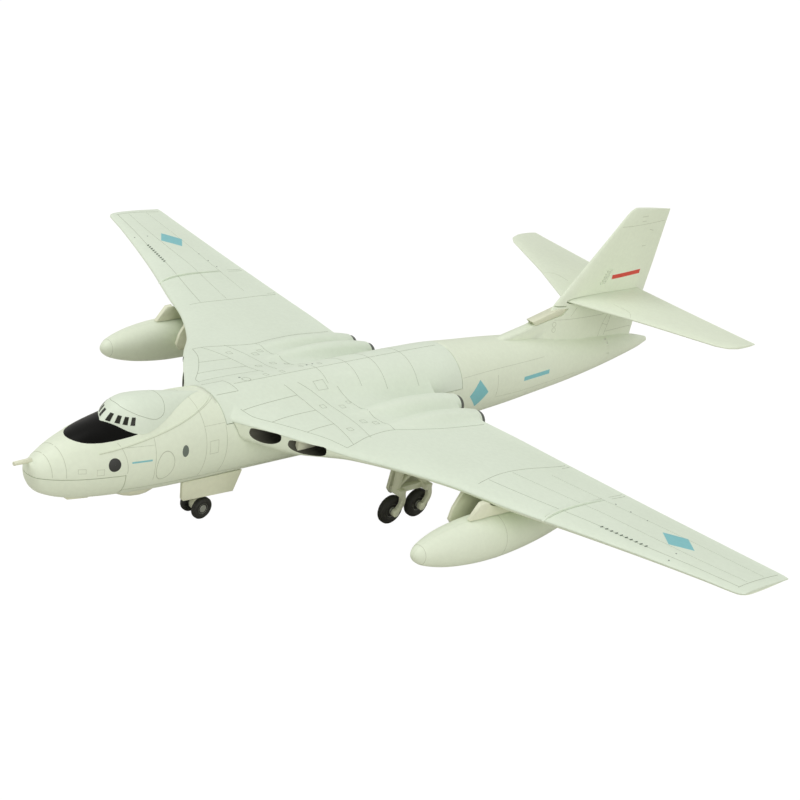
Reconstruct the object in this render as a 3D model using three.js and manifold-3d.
// A 1:144 display model of a four-jet shoulder-wing aeroplane that rolls on its own wheels.
//
// Millimetres, +Z up, nose towards -Y, port wing towards +X. The tyres stand on Z = 0.
// Everything is laid out in stations: Y counted aft from the nose tip. The outermost
// group then moves the whole model so that the middle of its length lies on Y = 0.

import * as THREE from "three";
import { mergeVertices } from "three/addons/utils/BufferGeometryUtils.js";
import Module from "manifold-3d";

// ---------------------------------------------------------------- driving dimensions

// Fuselage
const bodyLength = 229.4;
const bodyRadius = 11.4;
const bodyAxis = 24.2; // height of the tube's centre line above the ground
const noseLength = 42; // nose tip to the full section
const tailLength = 100; // full section to the tail end
const skin = 1.2; // casting wall
const seam = 0.3; // gap between two pieces that meet
const bodySides = 24;
const reach = 2 * bodyRadius; // half-width of a cutting tool that spans the fuselage
const ceiling = 80; // height of a cutting tool that is open upwards
const probeReach = 3.8;
const probeRadius = 0.5;
const probeRise = 1.3; // how far the probe stands above the centre line at the nose

// Joints between the fuselage pieces
const radomeTop = 22.6; // height of the parting line along the nose
const radomeEnd = 21.8;
const radomeRake = 2.4; // how far the radome's rear edge slopes aft, top to bottom
const bellyTop = 16.7; // height of the belly pan's edge under the wing
const bellyFrontRise = 1; // how much higher that edge is at the nose
const bellyEnd = 23.4; // ahead of the tail end
const bellyRise = 1.9; // how much it rises from the wing to its rear end
const saddleFront = 51.4; // the wing saddle is let into the fuselage between these stations
const saddleRear = 135.3;
const saddleEdge = 27;
const saddleNotch = 30.6; // its edge ahead of the wing root, where it stands clear of the wing

// Cockpit
const canopyStart = 19.4;
const canopyEnd = 50.4;
const canopyHeight = 37.9;
const canopyHalfWidth = 7.8;
const canopyBase = 29.2;
const canopyWall = 0.5;
const glazingGap = 0.1;
const paneSill = 33.2;
const paneHeight = 1.7;
const paneBearings = [9.5, 24, 37, 50]; // degrees round the dome from straight ahead
const paneWidths = [1.2, 1.2, 1.15, 1.1];

// Wing
const wingSpan = 243.6;
const wingHollowEnd = 58; // outboard of this the two halves are solid
const wingSeam = 0.25;
const fenceAt = 74.4;
const fenceHeight = 0.5;
const fenceWidth = 0.5;

// Engines: one pair of intakes and one pair of jet pipes on each side
const innerEngineOffset = 5.9; // from the fuselage side to the inner jet pipe
const engineSpacing = 7.6;
const pipeSides = 16;
const pipeRadius = 3;
const pipeEnd = 125.7;
const pipeEndHeight = 25.7;
const nozzleRadius = 2.55;
const nozzleBore = 2;
const nozzleReach = 2.1; // past the end of the hump
const nozzleDepth = 6; // inside the hump
const nozzleFit = 0.06;
const intakeInner = [12.8, 19.2]; // half-span limits of the two mouths
const intakeOuter = [20.3, 27.6];
const intakeRise = 1.3;
const intakeDrop = 2.3;
const intakeTop = 0.2; // how far the mouths cut above the leading edge
const intakeDepth = 17;
const vaneWidth = 1.1;

// Tail
const tailplaneHeight = 42;
const tailplaneHalfSpan = 43.6;
const tailplaneThickness = 2.3;
const finHeight = 68.4;
const finTipDrop = 2; // from the front to the rear of the tip

// Underwing tanks
const tankAt = 61;
const tankNose = 68.9;
const tankLength = 60.5;
const tankRadius = 5.95;
const tankAxis = 16.85;
const tankWall = 0.9;
const pylonWidth = 2.4;

// Landing gear
const noseWheelAt = 55.2;
const noseTyreRadius = 3;
const noseTyreWidth = 1.7;
const noseTrack = 2.2; // half of the distance between the twin wheels
const mainWheelAt = 105.8; // middle of the tandem pair
const mainWheelBase = 9.8;
const mainTyreRadius = 4;
const mainTyreWidth = 2.2;
const mainTrack = 24.2;
const wheelSides = 24;
const hubSides = 16;
const hubShare = 0.47; // hub radius as a share of the tyre radius
const hubFit = 0.06;
const axleRadius = 0.6;
const axleRunning = 0.09; // radial clearance between a wheel and its axle
const axleFit = 0.05;
const sideClearance = 0.35; // between a wheel and the piece beside it
const strutRadius = 1.15;
const doorThickness = 0.9;
const noseDoorAt = 4.3;
const noseDoorFront = 44.7;
const noseDoorRear = 64.7;
const noseDoorEdge = 8;
const innerDoorAt = 21.4;
const outerDoorAt = 53.4;

// Assembly screws and ballast
const screwStations = [70, 122];
const screwRadius = 0.75;
const screwHeadRadius = 1.6;
const screwHeadHeight = 1;
const screwBite = 6; // thread inside the post
const screwFit = 0.3;
const postRadius = 2.3;
const postFoot = 16.2; // height of the posts' lower ends
const weightFront = 11;
const weightRear = 40;

// ---------------------------------------------------------------- finishes

const finishes = {
  cream_paint: { color: 0xf0f0e2, roughness: 0.55, metalness: 0 },
  wing_paint: { color: 0xdfe8dc, roughness: 0.6, metalness: 0 },
  cream_plastic: { color: 0xe6e4d0, roughness: 0.5, metalness: 0 },
  dark_clear: { color: 0x3a3634, roughness: 0.12, metalness: 0 },
  exhaust_metal: { color: 0x4d5150, roughness: 0.4, metalness: 0.7 },
  tyre_black: { color: 0x1a1a18, roughness: 0.7, metalness: 0 },
  hub_silver: { color: 0xb9bfbd, roughness: 0.35, metalness: 0.8 },
  steel: { color: 0x9a9c9e, roughness: 0.35, metalness: 0.9 },
  ballast: { color: 0x6c6d70, roughness: 0.6, metalness: 0.7 },
};

// ---------------------------------------------------------------- working with solids

const wasm = await Module();
wasm.setup();

// A closed three.js geometry as a solid that can be joined and cut. Where the geometry
// was mirrored its triangles are turned round again, so that they still face out.
function toSolid(geometry, mirrored = false) {
  const bare = geometry.index ? geometry.toNonIndexed() : geometry.clone();
  bare.deleteAttribute("normal");
  bare.deleteAttribute("uv");
  const merged = mergeVertices(bare, 1e-4);
  const triVerts = new Uint32Array(merged.index.array);
  if (mirrored) {
    for (let i = 0; i < triVerts.length; i += 3) {
      [triVerts[i + 1], triVerts[i + 2]] = [triVerts[i + 2], triVerts[i + 1]];
    }
  }
  const vertProperties = merged.attributes.position.array;
  return new wasm.Manifold(new wasm.Mesh({ numProp: 3, vertProperties, triVerts }));
}

function toGeometry(solid) {
  const mesh = solid.getMesh();
  const geometry = new THREE.BufferGeometry();
  geometry.setAttribute("position", new THREE.BufferAttribute(mesh.vertProperties, 3));
  geometry.setIndex(new THREE.BufferAttribute(mesh.triVerts, 1));
  geometry.computeVertexNormals();
  return geometry;
}

function joined(first, ...others) {
  return others.reduce((whole, piece) => whole.add(piece), first);
}

function cut(solid, ...tools) {
  return tools.reduce((rest, tool) => rest.subtract(tool), solid);
}

// A box from its low corner to its high corner.
function box(low, high) {
  const [w, d, h] = high.map((value, axis) => value - low[axis]);
  const geometry = new THREE.BoxGeometry(w, d, h);
  geometry.translate(low[0] + w / 2, low[1] + d / 2, low[2] + h / 2);
  return toSolid(geometry);
}

// A round bar from one point to another, thicker or thinner at its far end if asked.
function bar(from, to, radius, sides = 12, endRadius = radius) {
  const start = new THREE.Vector3(...from);
  const along = new THREE.Vector3(...to).sub(start);
  const geometry = new THREE.CylinderGeometry(endRadius, radius, along.length(), sides);
  geometry.translate(0, along.length() / 2, 0);
  const up = new THREE.Vector3(0, 1, 0);
  const turn = new THREE.Quaternion().setFromUnitVectors(up, along.clone().normalize());
  geometry.applyQuaternion(turn);
  geometry.translate(...from);
  return toSolid(geometry);
}

// A closed outline [u, v] carried through whole steps; place turns (u, v, step) into [x, y, z].
function loft(outline, steps, place, mirrored = false) {
  const shape = new THREE.Shape(outline.map(([u, v]) => new THREE.Vector2(u, v)));
  const geometry = new THREE.ExtrudeGeometry(shape, { depth: steps, steps, bevelEnabled: false });
  const position = geometry.attributes.position;
  for (let i = 0; i < position.count; i += 1) {
    const step = Math.round(position.getZ(i));
    position.setXYZ(i, ...place(position.getX(i), position.getY(i), step));
  }
  return toSolid(geometry, mirrored);
}

// A flat plate: an outline of [station, height] points with a thickness along X.
function plate(outline, x, thickness) {
  return loft(outline, 1, (u, v, step) => [x - thickness / 2 + step * thickness, u, v]);
}

// A solid of revolution about a line along X or Y through the origin.
function turned(profile, sides, axis) {
  const points = profile.map(([radius, along]) => new THREE.Vector2(radius, along));
  const geometry = new THREE.LatheGeometry(points, sides, Math.PI / sides);
  if (axis === "x") geometry.rotateZ(-Math.PI / 2);
  return geometry;
}

// A function through rows of [position, value, ...]: smooth, or in straight stretches.
function through(rows, Interpolant = THREE.CubicInterpolant) {
  const width = rows[0].length - 1;
  const positions = rows.map((row) => row[0]);
  const values = rows.flatMap((row) => row.slice(1));
  const curve = new Interpolant(positions, values, width, new Array(width));
  return (at) => [...curve.evaluate(at)];
}

function circle(sides) {
  const points = [];
  for (let i = 0; i < sides; i += 1) {
    const angle = ((i + 0.5) * 2 * Math.PI) / sides;
    points.push([Math.cos(angle), Math.sin(angle)]);
  }
  return points;
}

function piece(name, finish, shape) {
  const geometry = shape.isBufferGeometry ? shape : toGeometry(shape);
  const mesh = new THREE.Mesh(geometry, new THREE.MeshStandardMaterial(finishes[finish]));
  mesh.name = name;
  return mesh;
}

// The two sides of the model: X points out from the middle on each.
const sides = [
  { side: "port", sign: 1 },
  { side: "starboard", sign: -1 },
];

// A group whose contents are modelled on the port side and mirrored for the other.
function onSide(sign, ...meshes) {
  const group = new THREE.Group();
  group.scale.x = sign;
  group.add(...meshes);
  return group;
}

// ---------------------------------------------------------------- fuselage

// Radius and height of the centre line along the fuselage. The nose is full below, like
// a chin, and the tail sweeps up to its end.
const tailStart = bodyLength - tailLength;
const bodyRows = [
  [0, 0.1, 0.35],
  [0.015, 0.2, -0.6],
  [0.05, 0.33, -2],
  [0.12, 0.48, -2.1],
  [0.24, 0.65, -1.7],
  [0.4, 0.79, -1.1],
  [0.6, 0.9, -0.5],
  [0.8, 0.975, -0.1],
].map(([share, size, drop]) => [share * noseLength, size * bodyRadius, bodyAxis + drop]);
bodyRows.push([noseLength, bodyRadius, bodyAxis]);
const tailRows = [
  [0, 1, 0],
  [0.15, 0.945, -0.3],
  [0.3, 0.865, -0.4],
  [0.45, 0.75, -0.5],
  [0.6, 0.625, -0.6],
  [0.75, 0.47, -0.5],
  [0.87, 0.31, -0.5],
  [0.95, 0.18, -0.6],
  [1, 0.07, -0.6],
].map(([share, size, drop]) => [
  tailStart + share * tailLength,
  size * bodyRadius,
  bodyAxis + drop,
]);
const bodyAt = through([...bodyRows, ...tailRows]);

function spaced(from, to, count) {
  const values = [];
  for (let i = 0; i <= count; i += 1) values.push(from + ((to - from) * i) / count);
  return values;
}

const bodyStations = [
  ...[0, 0.5, 1.5, 3.2, 5.6, 9, 13.5, 19, 26, 33, noseLength],
  ...spaced(tailStart, bodyLength - 6, 9),
  ...[bodyLength - 2, bodyLength],
];
const hollowStations = [9, 19, noseLength, ...spaced(tailStart, bodyLength - 20, 4)];

// The fuselage tube with its surface moved in or out, between two stations.
function tube(offset, from = 0, to = bodyLength, stationed = bodyStations) {
  const inside = stationed.filter((at) => at > from + 0.1 && at < to - 0.1);
  const stations = [from, ...inside, to];
  return loft(circle(bodySides), stations.length - 1, (u, v, step) => {
    const [radius, height] = bodyAt(stations[step]);
    const size = radius + offset;
    return [-u * size, stations[step], height + v * size];
  });
}

const bodyOuter = tube(0);
const bodyInner = tube(-skin, 4, bodyLength - 14, hollowStations);

// Everything below the belly's edge: level under the wing, higher at the nose and the tail.
function belowBelly(lift) {
  const level = bellyTop + lift;
  const outline = [
    [-20, -20],
    [bodyLength + 20, -20],
    [bodyLength + 20, level + bellyRise],
    [bodyLength - bellyEnd, level + bellyRise],
    [saddleRear + 15, level],
    [saddleFront + 28, level],
    [saddleFront - 10, level + bellyFrontRise],
    [-20, level + bellyFrontRise],
  ];
  return plate(outline, 0, 2 * reach);
}

// Everything ahead of the radome's raked rear edge and below its parting line.
function radomeRegion(growth) {
  const outline = [
    [-20, -20],
    [radomeEnd + growth + radomeRake * 3, -20],
    [radomeEnd + growth, radomeTop + growth],
    [-20, radomeTop + growth],
  ];
  return plate(outline, 0, 2 * reach);
}

// The saddle's share of the fuselage, and the hole it lies in, which is larger by growth.
function saddleRegion(growth) {
  const outline = [
    [saddleFront - growth, ceiling],
    [saddleFront - growth, saddleNotch - growth],
    [saddleFront + 4, saddleNotch - growth],
    [saddleFront + 8, saddleEdge - growth],
    [saddleRear + growth, saddleEdge - growth],
    [saddleRear + growth, ceiling],
  ];
  return plate(outline, 0, 2 * reach);
}

// ---------------------------------------------------------------- canopy

const canopyLength = canopyEnd - canopyStart;
const canopyRise = canopyHeight - canopyBase;
const canopyAt = through([
  [0, 0.16, 0.4],
  [0.06, 0.5, 0.62],
  [0.14, 0.8, 0.88],
  [0.24, 0.97, 0.99],
  [0.34, 1, 1],
  [0.5, 0.92, 0.955],
  [0.7, 0.68, 0.86],
  [0.87, 0.36, 0.78],
  [1, 0.05, 0.72],
]);
const canopyShares = [0, 0.04, 0.09, 0.16, 0.25, 0.36, 0.5, 0.64, 0.78, 0.9, 1];

// The teardrop over the cockpit: its section is a flattened round that stands on canopyBase.
function canopyForm(offset) {
  return loft(circle(bodySides), canopyShares.length - 1, (u, v, step) => {
    const share = canopyShares[step];
    const [width, height] = canopyAt(share);
    const halfWidth = Math.max(width * canopyHalfWidth + offset, 0.1);
    const rise = Math.max(height * canopyRise + offset, 0.1);
    const y = canopyStart - offset + share * (canopyLength + 2 * offset);
    return [-u * halfWidth, y, canopyBase + v * rise];
  });
}

// One pane's cutter: a wedge-sided bar that looks out from the middle of the dome.
function paneCutter(bearing, width) {
  const middle = canopyStart + 0.33 * canopyLength;
  const outline = [
    [-width / 2, paneSill],
    [width / 2, paneSill],
    [width / 2 - 0.15, paneSill + paneHeight],
    [-width / 2 + 0.15, paneSill + paneHeight],
  ];
  const angle = THREE.MathUtils.degToRad(bearing);
  const out = [Math.sin(angle), -Math.cos(angle)];
  const along = [-out[1], out[0]];
  return loft(outline, 1, (u, v, step) => {
    const distance = 2.5 + step * 12;
    const x = out[0] * distance + along[0] * u;
    return [x, middle + out[1] * distance + along[1] * u, v];
  });
}

function panes() {
  const cutters = [];
  for (const sign of [1, -1]) {
    paneBearings.forEach((bearing, i) => cutters.push(paneCutter(sign * bearing, paneWidths[i])));
  }
  return cutters;
}

const canopyOuter = canopyForm(0);
const glazingOuter = canopyForm(-canopyWall);
const canopyShell = cut(canopyOuter, canopyForm(glazingGap - canopyWall));
const aboveBody = (gap) => tube(gap, canopyStart - 4, canopyEnd + 4);
const canopyFrame = cut(canopyShell, aboveBody(seam), ...panes());
const glazing = cut(
  cut(glazingOuter, canopyForm(-2 * canopyWall)),
  aboveBody(seam),
  box([-reach, canopyStart + 0.62 * canopyLength, 0], [reach, bodyLength, ceiling]),
);

// ---------------------------------------------------------------- wing

const halfSpan = wingSpan / 2;

// Rows along the half-span: leading edge, trailing edge, their heights, the depth above
// and below the chord, and the bluntness below (1 is a plain aerofoil). The first rows
// rise to make the fillet against the fuselage.
const wingRows = [
  [5, 49.8, 122.4, 30.9, 27.7, 5.0, 5.0, 0.3],
  [8.5, 52.4, 122.6, 30.9, 27.6, 3.5, 5.3, 0.3],
  [12, 55.4, 122.8, 30.7, 27.5, 2.4, 5.8, 0.3],
  [16, 58.6, 123, 30.5, 27.5, 1.8, 6.1, 0.3],
  [20, 61.8, 123.3, 30.2, 27.4, 1.5, 6.1, 0.35],
  [26, 66.6, 123.9, 29.6, 27.4, 1.5, 4.4, 0.5],
  [32, 71.9, 124.6, 28.7, 27.4, 1.8, 2.7, 0.9],
  [40, 79.6, 125.6, 27.9, 27.4, 2.0, 2.2, 1],
  [53, 88.2, 127, 27.4, 27.3, 2.0, 1.9, 1],
  [66, 94.2, 128.4, 26.9, 27.3, 1.8, 2.1, 1],
  [83, 101.8, 130.3, 27, 27.3, 1.5, 1.8, 1],
  [98, 107.6, 132, 27.3, 27.4, 1.25, 1.5, 1],
  [112, 112.6, 133.6, 27.5, 27.5, 1.0, 1.2, 1],
  [halfSpan - 1.2, 115.4, 134.7, 27.6, 27.5, 0.85, 1, 1],
  [halfSpan, 116.7, 134.6, 27.6, 27.5, 0.5, 0.6, 1],
];
const wingAt = through(wingRows, THREE.LinearInterpolant);

// Half-thickness of a plain aerofoil, 1 at its deepest, and a thick trailing edge.
function foil(u) {
  const root = 0.2969 * Math.sqrt(u);
  const rest = -0.126 * u - 0.3516 * u ** 2 + 0.2843 * u ** 3 - 0.1015 * u ** 4;
  return Math.max((root + rest) / 0.1, 0.16 * u);
}

function foilHeight(u, bluntness) {
  return u < 0.3 ? foil(u) ** bluntness : foil(u);
}

const chordShares = [0, 0.012, 0.045, 0.11, 0.22, 0.4, 0.65, 1];

// One half of the wing, above (direction 1) or below (-1) the chord surface.
// shave takes a skin off the curved side and runs the flat side past the chord.
function wingHalf(direction, sign, shave = 0, from = wingRows[0][0], to = halfSpan) {
  const stations = wingRows.map((row) => row[0]).filter((x) => x > from && x < to);
  const all = [from, ...stations, to];
  const shares = chordShares.filter((u) => (shave ? u > 0.1 && u < 0.8 : true));
  const curved = shares.map((u) => [u, 1]);
  const flat = shares.map((u) => [u, 0]).reverse();
  const upright = direction > 0;
  return loft([...curved, ...flat], all.length - 1, (u, v, step) => {
    const x = all[step];
    const [front, rear, frontZ, rearZ, above, below, blunt] = wingAt(x);
    const chordZ = frontZ + (rearZ - frontZ) * u;
    const depth = (upright ? above * foil(u) : below * foilHeight(u, blunt)) - shave;
    const parting = shave ? -1 : upright ? 0 : wingSeam;
    const offset = v > 0.5 ? Math.max(depth, parting + 0.15) : parting;
    return [sign * x, front + (rear - front) * u, chordZ + direction * offset];
  }, sign * direction < 0);
}

// Jet pipes: humps that rise out of the upper skin and end in open rims.
const innerEngine = bodyRadius + innerEngineOffset;
const engines = [
  { name: "inner", x: innerEngine, end: pipeEnd - 0.6, lift: 1.1 },
  { name: "outer", x: innerEngine + engineSpacing, end: pipeEnd, lift: 0 },
];

function pipe(engine, sign, growth = 0) {
  const path = through([
    [0, 1.2, 2.6],
    [0.25, 2.4, 2.6],
    [0.5, pipeRadius + 0.1, 2.2],
    [0.75, pipeRadius + 0.1, 1.6],
    [0.9, pipeRadius, 0.9],
    [1, pipeRadius - 0.1, 0.2],
  ]);
  const start = engine.end - 36;
  const steps = 6;
  return loft(circle(pipeSides), steps, (u, v, step) => {
    const [radius, rise] = path(step / steps);
    const size = radius + growth;
    const y = start + ((engine.end - start) * step) / steps + (step === steps ? growth : 0);
    return [sign * engine.x - u * size, y, pipeEndHeight + engine.lift + rise + v * size];
  });
}

function pipeBore(engine, sign) {
  const height = pipeEndHeight + engine.lift;
  const x = sign * engine.x;
  const radius = nozzleRadius + nozzleFit;
  return bar([x, engine.end - nozzleDepth, height], [x, engine.end + 1, height], radius, pipeSides);
}

// An intake mouth: a slot with a rounded floor that follows the swept leading edge back.
function intake([inboard, outboard], sign, growth = 0) {
  const middle = (inboard + outboard) / 2;
  const half = (outboard - inboard) / 2;
  const [front, , height] = wingAt(middle);
  const outline = [];
  for (let i = 0; i <= 10; i += 1) {
    const angle = Math.PI + (i * Math.PI) / 10;
    outline.push([Math.cos(angle), Math.sin(angle)]);
  }
  outline.push([0.96, 0.8], [0.75, 1], [-0.75, 1], [-0.96, 0.8]);
  return loft(outline, 4, (u, v, step) => {
    const share = step / 4;
    const size = 1 - 0.3 * share;
    const y = front - 6 + 0.9 * u * half + share * (intakeDepth + 6);
    const opening = v > 0 ? intakeRise : intakeDrop;
    const rise = v * (opening + growth) * size;
    const x = middle + u * (half + growth) * size;
    return [sign * x, y, height + intakeTop - intakeRise - share * 0.6 + rise];
  }, sign > 0);
}

const mouths = [intakeInner, intakeOuter];
const wingUpperSides = sides.map(({ sign }) => {
  const whole = joined(wingHalf(1, sign), ...engines.map((engine) => pipe(engine, sign)));
  const hollow = wingHalf(1, sign, skin, bodyRadius - 1, wingHollowEnd);
  const bores = engines.map((engine) => pipeBore(engine, sign));
  return { whole, tools: [hollow, ...bores, ...mouths.map((mouth) => intake(mouth, sign))] };
});

function fence(sign) {
  const [front, rear, frontZ, , above] = wingAt(fenceAt);
  const chord = rear - front;
  const outline = [
    [front - 1, frontZ + 0.2],
    [front + 0.03 * chord, frontZ + 0.75 * above + fenceHeight],
    [front + 0.3 * chord, frontZ + above + fenceHeight],
    [front + 0.42 * chord, frontZ + 0.7 * above],
    [front + 0.2 * chord, frontZ],
  ];
  return plate(outline, sign * fenceAt, fenceWidth);
}

const postTop = bodyAxis + bodyRadius - skin / 2;
const posts = (growth) =>
  screwStations.map((at) =>
    bar([0, at, postFoot - growth], [0, at, postTop], postRadius + growth, 16),
  );
const pilots = screwStations.map((at) =>
  bar([0, at, postFoot - 1], [0, at, postFoot + screwBite + 1], screwRadius + 0.1, 12),
);
const saddle = joined(bodyOuter.intersect(saddleRegion(0)), ...wingUpperSides.map((s) => s.whole));
const trimmed = cut(
  saddle,
  box([-bodyRadius - 0.2, 0, 0], [bodyRadius + 0.2, saddleFront, ceiling]),
  bodyInner,
  ...wingUpperSides.flatMap((s) => s.tools),
);
const wingUpper = cut(
  joined(trimmed, ...posts(0), ...sides.map(({ sign }) => fence(sign))),
  ...pilots,
);

// The lower half meets the fuselage side and is relieved round the jet pipes. The front
// struts of the main gear are pegged into it.
const pegRadius = 0.8 * strutRadius;
const legAt = mainTrack;
const frontWheelAt = mainWheelAt - mainWheelBase / 2;
const rearWheelAt = mainWheelAt + mainWheelBase / 2;
const legSlant = 0.6; // the struts stand this far behind their axles

function peg(growth) {
  const y = frontWheelAt + legSlant;
  return bar([legAt, y, 20], [legAt, y, 26.4 + growth], pegRadius + growth, 12);
}

const wingLower = cut(
  wingHalf(-1, 1),
  wingHalf(-1, 1, skin, bodyRadius + 2, wingHollowEnd),
  tube(seam, saddleFront - 4, saddleRear + 4),
  ...engines.map((engine) => pipe(engine, 1, seam)),
  ...mouths.map((mouth) => intake(mouth, 1)),
  peg(0.2),
);

// A tool that removes whatever rises to within a seam of the wing's lower side, or of that
// height ahead of its leading edge.
function underside(from, to) {
  const stations = [from, ...wingRows.map((row) => row[0]).filter((x) => x > from && x < to), to];
  const ahead = -0.1;
  const outline = [[ahead, -1], ...chordShares.map((u) => [u, -1]), [1, 1], [ahead, 1]];
  return loft(outline, stations.length - 1, (u, v, step) => {
    const [front, rear, frontZ, rearZ, , below, blunt] = wingAt(stations[step]);
    const chordZ = frontZ + (rearZ - frontZ) * u;
    const depth = below * foilHeight(Math.max(u, 0), blunt) + seam;
    return [stations[step], front - seam + (rear - front) * u, v < 0 ? chordZ - depth : ceiling];
  });
}

// The post that splits the outer mouth of each pair.
const vaneAt = intakeOuter[0] + 1.2;
const [vaneFront] = wingAt(vaneAt);
const vane = intake(intakeOuter, 1, -0.12).intersect(
  box([vaneAt - vaneWidth / 2, vaneFront + 1.4, 0], [vaneAt + vaneWidth / 2, vaneFront + 8, ceiling]),
);

function nozzle() {
  const profile = [
    [0, -nozzleDepth],
    [nozzleRadius, -nozzleDepth],
    [nozzleRadius, nozzleReach * 0.5],
    [nozzleRadius - 0.15, nozzleReach],
    [nozzleBore, nozzleReach],
    [nozzleBore - 0.2, -nozzleDepth * 0.7],
    [0.9, -nozzleDepth * 0.7],
    [0, -nozzleDepth * 0.1],
  ];
  return turned(profile, pipeSides, "y");
}

// ---------------------------------------------------------------- tail

// The tail's stations are counted back from the end of the fuselage.
const tailEnd = bodyLength;

// The fin from its root to its tip: rows of [height, front, rear, half-thickness].
const finRows = [
  [25.5, tailEnd - 57.4, tailEnd - 9.2, 2.9],
  [31, tailEnd - 55.4, tailEnd - 8.9, 2.6],
  [36, tailEnd - 52.1, tailEnd - 8.3, 2.1],
  [tailplaneHeight, tailEnd - 47.4, tailEnd - 7.6, 1.75],
  [50, tailEnd - 39.7, tailEnd - 6.5, 1.45],
  [60, tailEnd - 30.3, tailEnd - 5.4, 1.1],
  [finHeight - 0.7, tailEnd - 23, tailEnd - 4.5, 0.8],
  [finHeight, tailEnd - 21.3, tailEnd - 4.8, 0.45],
];
const finAt = through(finRows, THREE.LinearInterpolant);

function finPiece(from, to, offset = 0) {
  const levels = [from, ...finRows.map((row) => row[0]).filter((z) => z > from && z < to), to];
  const left = chordShares.map((u) => [u, foil(u)]);
  const right = chordShares.slice(1).map((u) => [u, -foil(u)]).reverse();
  return loft([...left, ...right], levels.length - 1, (u, v, step) => {
    const [front, rear, half] = finAt(levels[step]);
    const chord = rear - front + 2 * offset;
    return [-v * (half + offset), front - offset + u * chord, levels[step]];
  });
}

const tailplaneHalf = tailplaneThickness / 2;
const tailplaneRows = [
  [0, tailEnd - 44.5, tailEnd - 11.4, tailplaneHalf],
  [20, tailEnd - 33, tailEnd - 10.5, tailplaneHalf * 0.8],
  [tailplaneHalfSpan - 4, tailEnd - 23.4, tailEnd - 9.3, tailplaneHalf * 0.6],
  [tailplaneHalfSpan - 1.4, tailEnd - 21, tailEnd - 9, tailplaneHalf * 0.5],
  [tailplaneHalfSpan - 0.3, tailEnd - 18.1, tailEnd - 8.9, tailplaneHalf * 0.4],
  [tailplaneHalfSpan, tailEnd - 15.1, tailEnd - 9.3, tailplaneHalf * 0.25],
];
const tailplaneAt = through(tailplaneRows, THREE.LinearInterpolant);

function tailplaneSide(sign) {
  const stations = tailplaneRows.map((row) => row[0]);
  const top = chordShares.map((u) => [u, foil(u)]);
  const bottom = chordShares.slice(1).map((u) => [u, -foil(u)]).reverse();
  return loft([...top, ...bottom], stations.length - 1, (u, v, step) => {
    const [front, rear, half] = tailplaneAt(stations[step]);
    return [sign * stations[step], front + (rear - front) * u, tailplaneHeight + v * half];
  }, sign < 0);
}

const tailplane = joined(tailplaneSide(1), tailplaneSide(-1));
const finShelf = tailplaneHeight - tailplaneHalf - seam; // where the lower fin ends
const finRoot = finRows[0][3];

// The space that the tailplane takes out of a fin, with everything below it (direction -1)
// or above it (1).
function tailplaneBed(direction, gap, run) {
  const far = [
    [1, -1],
    [0, -1],
  ];
  const near = chordShares.map((u) => [u, 1]);
  return loft([...near, ...far], 1, (u, v, step) => {
    const x = (step * 2 - 1) * finRoot;
    const [front, rear, half] = tailplaneAt(0);
    const surface = tailplaneHeight - direction * (half * foil(u) + seam);
    const y = u > 0.5 ? front + (rear - front) * u + gap : front + (rear - front) * u - gap;
    return [-direction * x, y, v > 0 ? surface : surface + direction * run];
  });
}

// The upper fin stands on the tailplane. It reaches down ahead of it and behind it.
const finUpper = cut(
  finPiece(finShelf + seam, finHeight),
  tailplaneBed(-1, seam, 2 * tailplaneThickness),
  plate(
    [
      [tailEnd - 23.4, finHeight],
      [tailEnd - 3.4, finHeight - finTipDrop],
      [tailEnd - 3.4, ceiling],
      [tailEnd - 23.4, ceiling],
    ],
    0,
    20,
  ),
);

// Fairing from the fuselage top up to the scoop, and the scoop on it.
const dorsal = plate(
  [
    [tailEnd - 73.4, 26],
    [tailEnd - 70.9, 33.7],
    [tailEnd - 57.9, 36.2],
    [tailEnd - 52.9, 37.9],
    [tailEnd - 47.4, 39.5],
    [tailEnd - 39.4, 39.5],
    [tailEnd - 33.4, 26],
  ],
  0,
  2.8,
);
const scoopOutline = [
  [tailEnd - 56.4, 36.1],
  [tailEnd - 58.1, 37.5],
  [tailEnd - 47.4, 40],
  [tailEnd - 43.4, 40],
  [tailEnd - 45.4, 38],
];
const scoopMouth = [
  [tailEnd - 60.4, 36.4],
  [tailEnd - 59.4, 37],
  [tailEnd - 52.4, 38.4],
  [tailEnd - 52, 37.4],
];
const scoopWidth = 2.6;
const scoop = cut(
  plate(scoopOutline, 0, scoopWidth),
  plate(scoopMouth, 0, scoopWidth - 0.9),
);

// ---------------------------------------------------------------- fuselage pieces

// The lower fin's top follows the tailplane's underside.
const finRest = finPiece(finShelf - 1, tailplaneHeight);
const tailplaneRoot = tailplaneAt(0);
const finLedge = box(
  [-finRoot, tailplaneRoot[0], finShelf - 1],
  [finRoot, tailplaneRoot[1], tailplaneHeight],
);
const finBase = cut(
  joined(finPiece(finRows[0][0], finShelf), finRest.intersect(finLedge), dorsal),
  tailplaneBed(1, 0.1, tailplaneThickness),
  plate(scoopOutline, 0, reach),
);
const canopyWell = cut(
  canopyForm(-1.4),
  box([-reach, canopyStart + 0.6 * canopyLength, 0], [reach, bodyLength, ceiling]),
);
const shell = cut(bodyOuter, bodyInner, canopyWell);
const fuselageBody = cut(
  joined(shell, cut(finBase, bodyInner)),
  belowBelly(0).intersect(tube(2, 0, bodyLength - bellyEnd)),
  radomeRegion(0),
  saddleRegion(seam),
);
const radome = shell.intersect(radomeRegion(-seam));
const screwShafts = (growth) =>
  screwStations.map((at) =>
    bar([0, at, 5], [0, at, postFoot + screwBite], screwRadius + growth, 12),
  );
const headSeats = (growth, depth) =>
  screwStations.map((at) => {
    const bottom = bodyAxis - bodyRadius;
    return bar([0, at, bottom - 1], [0, at, bottom + depth], screwHeadRadius + growth, 16);
  });
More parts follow.
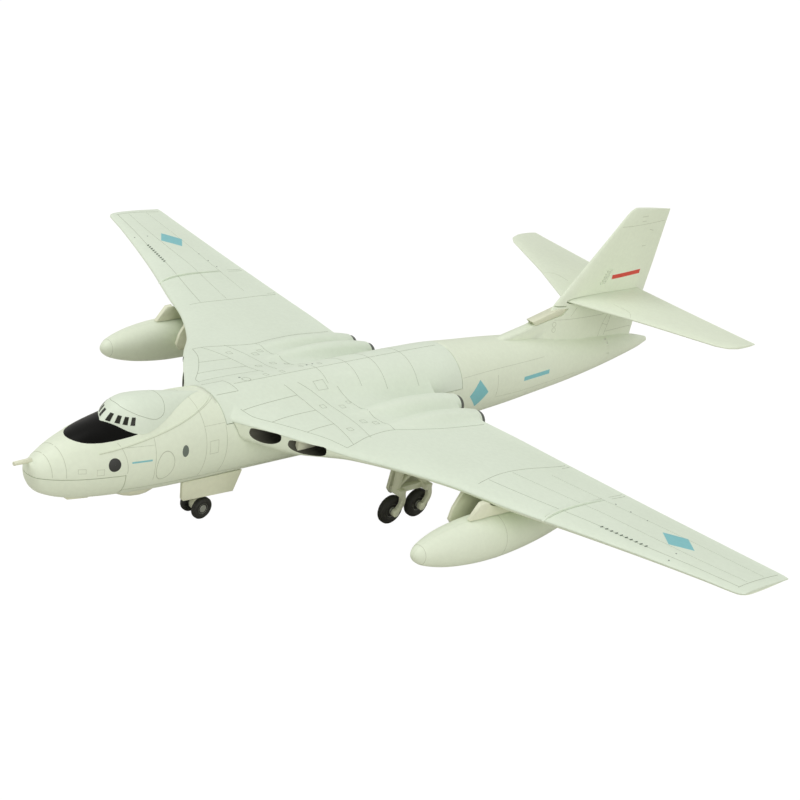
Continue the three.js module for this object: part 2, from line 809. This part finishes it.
const bellyFloor = screwStations.map((at) => {
  const bottom = bodyAxis - bodyRadius;
  return bar([0, at, bottom + 0.4], [0, at, postFoot - seam], postRadius, 16);
});
const bellyShell = shell
  .intersect(belowBelly(-seam))
  .intersect(box([-reach, radomeEnd, 0], [reach, bodyLength - bellyEnd - seam, ceiling]));
const bellyPan = cut(
  joined(cut(bellyShell, radomeRegion(seam)), ...bellyFloor),
  ...screwShafts(screwFit),
  ...headSeats(screwFit, screwHeadHeight),
  ...posts(seam),
);

function screw(at) {
  const bottom = bodyAxis - bodyRadius + 0.1;
  const top = postFoot + screwBite;
  const head = bar([0, at, bottom], [0, at, bottom + screwHeadHeight - 0.3], screwHeadRadius, 16);
  const shaft = bar([0, at, bottom], [0, at, top], screwRadius - 0.05, 12);
  const slot = box([-1.1, at - 0.2, bottom - 1], [1.1, at + 0.2, bottom + 0.35]);
  const cross = box([-0.2, at - 1.1, bottom - 1], [0.2, at + 1.1, bottom + 0.35]);
  return cut(joined(head, shaft), slot, cross);
}

// Ballast that keeps the nose wheels on the ground.
const noseWeight = cut(
  tube(-skin - seam, weightFront, weightRear, hollowStations),
  box([-reach, 0, radomeTop - 1], [reach, bodyLength, ceiling]),
  box([-reach, 0, 0], [reach, bodyLength, 14.6]),
);

// The bomb aimer's blister and the aerial plate under the nose.
const blister = cut(
  loft(circle(20), 8, (u, v, step) => {
    const share = step / 8;
    const size = Math.max(Math.sin(Math.PI * (0.03 + 0.94 * share)) ** 0.7, 0.2);
    return [-u * 3.6 * size, 25.5 + share * 16, 13.6 + v * 3.1 * size];
  }),
  tube(seam, 20, 50),
);
const nosePlate = cut(
  plate(
    [
      [11.5, 14.4],
      [12.2, 13.9],
      [18.2, 13.2],
      [18.9, 13.6],
      [18.9, 16],
      [11.5, 16],
    ],
    0,
    3.2,
  ),
  tube(0.1, 8, 24),
);

// The probe's root is let into the nose tip.
const probeHeight = bodyAt(0)[1] + probeRise;
const probe = cut(
  bar([0, -probeReach, probeHeight], [0, 1, probeHeight], probeRadius, 12, probeRadius * 1.25),
  tube(0.05, 0, 20),
);

// ---------------------------------------------------------------- tanks and pylons

const tankProfile = [
  [0, 0],
  [0.26, 0.012],
  [0.48, 0.05],
  [0.76, 0.15],
  [0.93, 0.27],
  [1, 0.4],
  [0.96, 0.54],
  [0.8, 0.7],
  [0.53, 0.86],
  [0.24, 0.97],
  [0, 1],
];

function tankForm(offset) {
  const profile = tankProfile.map(([radius, along]) => {
    const length = tankLength + 2 * offset;
    const size = radius ? Math.max(radius * (tankRadius + offset), 0.05) : 0;
    return [size, tankNose - offset + along * length];
  });
  const geometry = turned(profile, bodySides, "y");
  geometry.translate(tankAt, 0, tankAxis);
  return toSolid(geometry);
}

const tankShell = cut(tankForm(0), tankForm(-tankWall));
const tankInner = tankShell.intersect(box([0, 0, 0], [tankAt, bodyLength, ceiling]));
const tankOuter = tankShell.intersect(box([tankAt, 0, 0], [wingSpan, bodyLength, ceiling]));

// The pylon's section is a lens: pointed at the front and square at the rear.
const pylonRows = [
  [0, 0.5],
  [0.12, 0.85],
  [0.35, 1],
  [0.75, 0.9],
  [1, 0.35],
];
const pylonFoot = [83.8, 113]; // stations of its front and rear edges on the tank
const pylonHead = [90.6, 117.5]; // and at the wing
const pylon = cut(
  loft(
    [
      ...pylonRows,
      ...pylonRows.map(([share, width]) => [share, -width]).reverse(),
    ],
    1,
    (u, v, step) => {
      const [front, rear] = step ? pylonHead : pylonFoot;
      const height = step ? bodyAxis + 4 : tankAxis + 2;
      return [tankAt - (v * pylonWidth) / 2, front + u * (rear - front), height];
    },
  ),
  tankForm(seam),
  underside(tankAt - 6, tankAt + 6),
);

// ---------------------------------------------------------------- wheels

// The lowest facet of a tyre lies flat on the ground.
const flatTo = Math.cos(Math.PI / wheelSides);
const noseAxleHeight = noseTyreRadius * flatTo;
const mainAxleHeight = mainTyreRadius * flatTo;

function tyre(radius, width) {
  const inner = radius * hubShare;
  const half = width / 2;
  const profile = [
    [inner, -half * 0.75],
    [radius * 0.78, -half],
    [radius, -half * 0.5],
    [radius, half * 0.5],
    [radius * 0.78, half],
    [inner, half * 0.75],
  ];
  profile.push(profile[0]);
  return turned(profile, wheelSides, "x");
}

// A dished hub with a raised boss round the bore.
function hub(radius, width, bore) {
  const outer = radius * hubShare - hubFit;
  const half = width / 2;
  const boss = (outer + bore) / 2;
  const profile = [
    [bore, -half * 0.8],
    [boss, -half * 0.8],
    [outer, -half * 0.5],
    [outer, half * 0.5],
    [boss, half * 0.8],
    [bore, half * 0.8],
  ];
  profile.push(profile[0]);
  return turned(profile, hubSides, "x");
}

function wheel(name, radius, width, bore, at) {
  const group = new THREE.Group();
  group.position.set(...at);
  group.add(
    piece(name + "_tyre", "tyre_black", tyre(radius, width)),
    piece(name + "_hub", "hub_silver", hub(radius, width, bore)),
  );
  return group;
}

// ---------------------------------------------------------------- nose gear

const noseGear = new THREE.Group();
const noseHubBore = axleRadius + axleFit;
const noseAxleHalf = noseTrack + noseTyreWidth * 0.4;
const legBore = (axleRadius + axleRunning) / Math.cos(Math.PI / 16);
const legHalfWidth = noseTrack - noseTyreWidth / 2 - sideClearance;
const bellyBottom = bodyAxis - bodyRadius;
const noseLeg = cut(
  joined(
    bar(
      [0, noseWheelAt, noseAxleHeight],
      [0, noseWheelAt + 1, bellyBottom - 0.05],
      strutRadius * 0.85,
      12,
      strutRadius,
    ),
    bar(
      [-legHalfWidth, noseWheelAt, noseAxleHeight],
      [legHalfWidth, noseWheelAt, noseAxleHeight],
      1.5,
      16,
    ),
    bar(
      [0, noseWheelAt + 0.4, noseTyreRadius * 2 + 0.4],
      [0, noseWheelAt + 5.5, bellyBottom - 0.35],
      0.6,
      8,
    ),
  ),
  bar(
    [-reach, noseWheelAt, noseAxleHeight],
    [reach, noseWheelAt, noseAxleHeight],
    legBore,
    16,
  ),
  tube(seam, 40, 75),
);
const noseAxle = bar(
  [-noseAxleHalf, noseWheelAt, noseAxleHeight],
  [noseAxleHalf, noseWheelAt, noseAxleHeight],
  axleRadius,
  16,
);
noseGear.add(piece("nose_leg", "cream_plastic", noseLeg));
noseGear.add(piece("nose_axle", "steel", noseAxle));
for (const { side, sign } of sides) {
  const at = [sign * noseTrack, noseWheelAt, noseAxleHeight];
  const bore = noseHubBore / Math.cos(Math.PI / hubSides);
  noseGear.add(wheel("nose_wheel_" + side, noseTyreRadius, noseTyreWidth, bore, at));
  const door = cut(
    plate(
      [
        [noseDoorFront + 0.9, noseDoorEdge + 0.6],
        [noseDoorFront + 1.5, noseDoorEdge],
        [noseDoorRear - 2.2, noseDoorEdge - 0.5],
        [noseDoorRear, bellyBottom + 1.6],
        [noseDoorFront, bellyBottom + 1.6],
      ],
      noseDoorAt,
      doorThickness,
    ),
    tube(seam, noseDoorFront - 6, noseDoorRear + 6),
  );
  noseGear.add(onSide(sign, piece("nose_door_" + side, "cream_plastic", door)));
}

// ---------------------------------------------------------------- main gear

const forkAt = mainTrack + mainTyreWidth / 2 + sideClearance;
const forkThickness = 1;
const forkWidth = 1.5;
const forkEye = 1.15; // radius of the end that holds the axle

// A leg casting: two struts, a link between them and a curved half-fork to each wheel.
const knee = mainAxleHeight + mainTyreRadius + 1.4;

function mainLeg() {
  const parts = [];
  for (const at of [frontWheelAt, rearWheelAt]) {
    const y = at + legSlant;
    const x = forkAt + forkThickness / 2;
    parts.push(
      bar([legAt, y, knee], [legAt, y, bodyAxis], strutRadius, 12),
      plate(forkArm(at), x, forkThickness),
      bar([forkAt, at, mainAxleHeight], [forkAt + forkThickness, at, mainAxleHeight], forkEye, 16),
      box([legAt - strutRadius, at - 0.4, knee - 0.5], [forkAt + forkThickness, at + 1.9, knee + 1]),
    );
  }
  const front = frontWheelAt + legSlant;
  const rear = rearWheelAt + legSlant;
  parts.push(
    box([legAt - 0.7, front, knee - 0.6], [legAt + 0.7, rear, knee + 1]),
    bar([legAt, rear, knee + 1], [legAt, front, knee + 9.3], 0.75, 8),
    bar([legAt, front, knee + 1], [legAt, rear, knee + 9.3], 0.75, 8),
  );
  const body = cut(joined(...parts), underside(legAt - 8, legAt + 8));
  const clear = engines.map((engine) => pipe(engine, 1, seam));
  return cut(joined(body, peg(0)), ...clear);
}

// The half-fork's arm bows aft on its way from the knee down to the axle.
function forkArm(y) {
  const middle = new THREE.SplineCurve([
    new THREE.Vector2(y + 0.7, knee + 0.8),
    new THREE.Vector2(y + 1.5, mainAxleHeight + 4.2),
    new THREE.Vector2(y + 1.7, mainAxleHeight + 2.6),
    new THREE.Vector2(y + 0.9, mainAxleHeight + 1),
    new THREE.Vector2(y - 0.1, mainAxleHeight),
  ]);
  const rear = [];
  const front = [];
  for (const share of spaced(0, 1, 8)) {
    const point = middle.getPoint(share);
    const across = middle.getTangent(share).rotateAround(new THREE.Vector2(), Math.PI / 2);
    rear.push([point.x + (across.x * forkWidth) / 2, point.y + (across.y * forkWidth) / 2]);
    front.unshift([point.x - (across.x * forkWidth) / 2, point.y - (across.y * forkWidth) / 2]);
  }
  return [...rear, ...front];
}

const axleInner = mainTrack - mainTyreWidth / 2 - sideClearance;
const mainBore = (axleRadius + axleRunning) / Math.cos(Math.PI / hubSides);

function mainAxle(y) {
  const shaft = bar(
    [axleInner, y, mainAxleHeight],
    [forkAt + forkThickness * 0.7, y, mainAxleHeight],
    axleRadius,
    12,
  );
  const head = bar(
    [axleInner - 0.5, y, mainAxleHeight],
    [axleInner, y, mainAxleHeight],
    axleRadius * 1.8,
    12,
  );
  return joined(shaft, head);
}

// A bay door hangs from the wing's underside.
function gearDoor(x, outline) {
  return cut(
    plate(outline, x, doorThickness),
    underside(x - 3, x + 3),
    ...engines.map((engine) => pipe(engine, 1, seam)),
  );
}

function mainGear(side, sign) {
  const group = new THREE.Group();
  const legBody = cut(
    mainLeg(),
    ...[frontWheelAt, rearWheelAt].map((y) => {
      const from = [forkAt - 1, y, mainAxleHeight];
      const to = [forkAt + forkThickness * 0.7 + axleFit, y, mainAxleHeight];
      return bar(from, to, axleRadius + axleFit, 12);
    }),
  );
  group.add(onSide(sign, piece("main_leg_" + side, "cream_plastic", legBody)));
  const innerDoor = gearDoor(innerDoorAt, [
    [102.4, 26],
    [101.2, 8.6],
    [102.4, 7.2],
    [115.6, 7.2],
    [117.6, 9.4],
    [119, 26],
  ]);
  const outerDoor = gearDoor(outerDoorAt, [
    [91.5, 26],
    [89.1, 21.8],
    [88.5, 18.7],
    [90.1, 16.9],
    [101, 16.4],
    [107, 19],
    [110.5, 26],
  ]);
  group.add(
    onSide(
      sign,
      piece("gear_door_inner_" + side, "cream_plastic", innerDoor),
      piece("gear_door_outer_" + side, "cream_plastic", outerDoor),
    ),
  );
  for (const [y, name] of [
    [frontWheelAt, "front"],
    [rearWheelAt, "rear"],
  ]) {
    const label = "main_wheel_" + side + "_" + name;
    const at = [sign * mainTrack, y, mainAxleHeight];
    group.add(wheel(label, mainTyreRadius, mainTyreWidth, mainBore, at));
    const axle = piece("main_axle_" + side + "_" + name, "steel", mainAxle(y));
    group.add(onSide(sign, axle));
  }
  return group;
}

// ---------------------------------------------------------------- assembly

const airframe = new THREE.Group();
airframe.position.y = -(bodyLength - probeReach) / 2;

airframe.add(
  piece("fuselage_body", "cream_paint", fuselageBody),
  piece("radome", "cream_paint", radome),
  piece("belly_pan", "cream_paint", bellyPan),
  piece("belly_blister", "cream_plastic", blister),
  piece("nose_aerial_plate", "cream_plastic", nosePlate),
  piece("nose_probe", "cream_plastic", probe),
  piece("canopy_frame", "cream_paint", canopyFrame),
  piece("canopy_glazing", "dark_clear", glazing),
  piece("wing_upper", "wing_paint", wingUpper),
  piece("fin_upper", "wing_paint", finUpper),
  piece("fin_scoop", "cream_plastic", scoop),
  piece("tailplane", "cream_plastic", tailplane),
  piece("nose_weight", "ballast", noseWeight),
);
screwStations.forEach((at, i) => {
  airframe.add(piece("belly_screw_" + ["front", "rear"][i], "steel", screw(at)));
});
for (const { side, sign } of sides) {
  airframe.add(
    onSide(
      sign,
      piece("wing_lower_" + side, "wing_paint", wingLower),
      piece("intake_vane_" + side, "cream_plastic", vane),
      piece("tank_inner_" + side, "cream_paint", tankInner),
      piece("tank_outer_" + side, "cream_paint", tankOuter),
      piece("tank_pylon_" + side, "cream_plastic", pylon),
    ),
  );
  airframe.add(mainGear(side, sign));
  for (const engine of engines) {
    const jet = piece("nozzle_" + engine.name + "_" + side, "exhaust_metal", nozzle());
    jet.position.set(sign * engine.x, engine.end, pipeEndHeight + engine.lift);
    airframe.add(jet);
  }
}
airframe.add(noseGear);

const model = new THREE.Group();
model.add(airframe);

export default model;
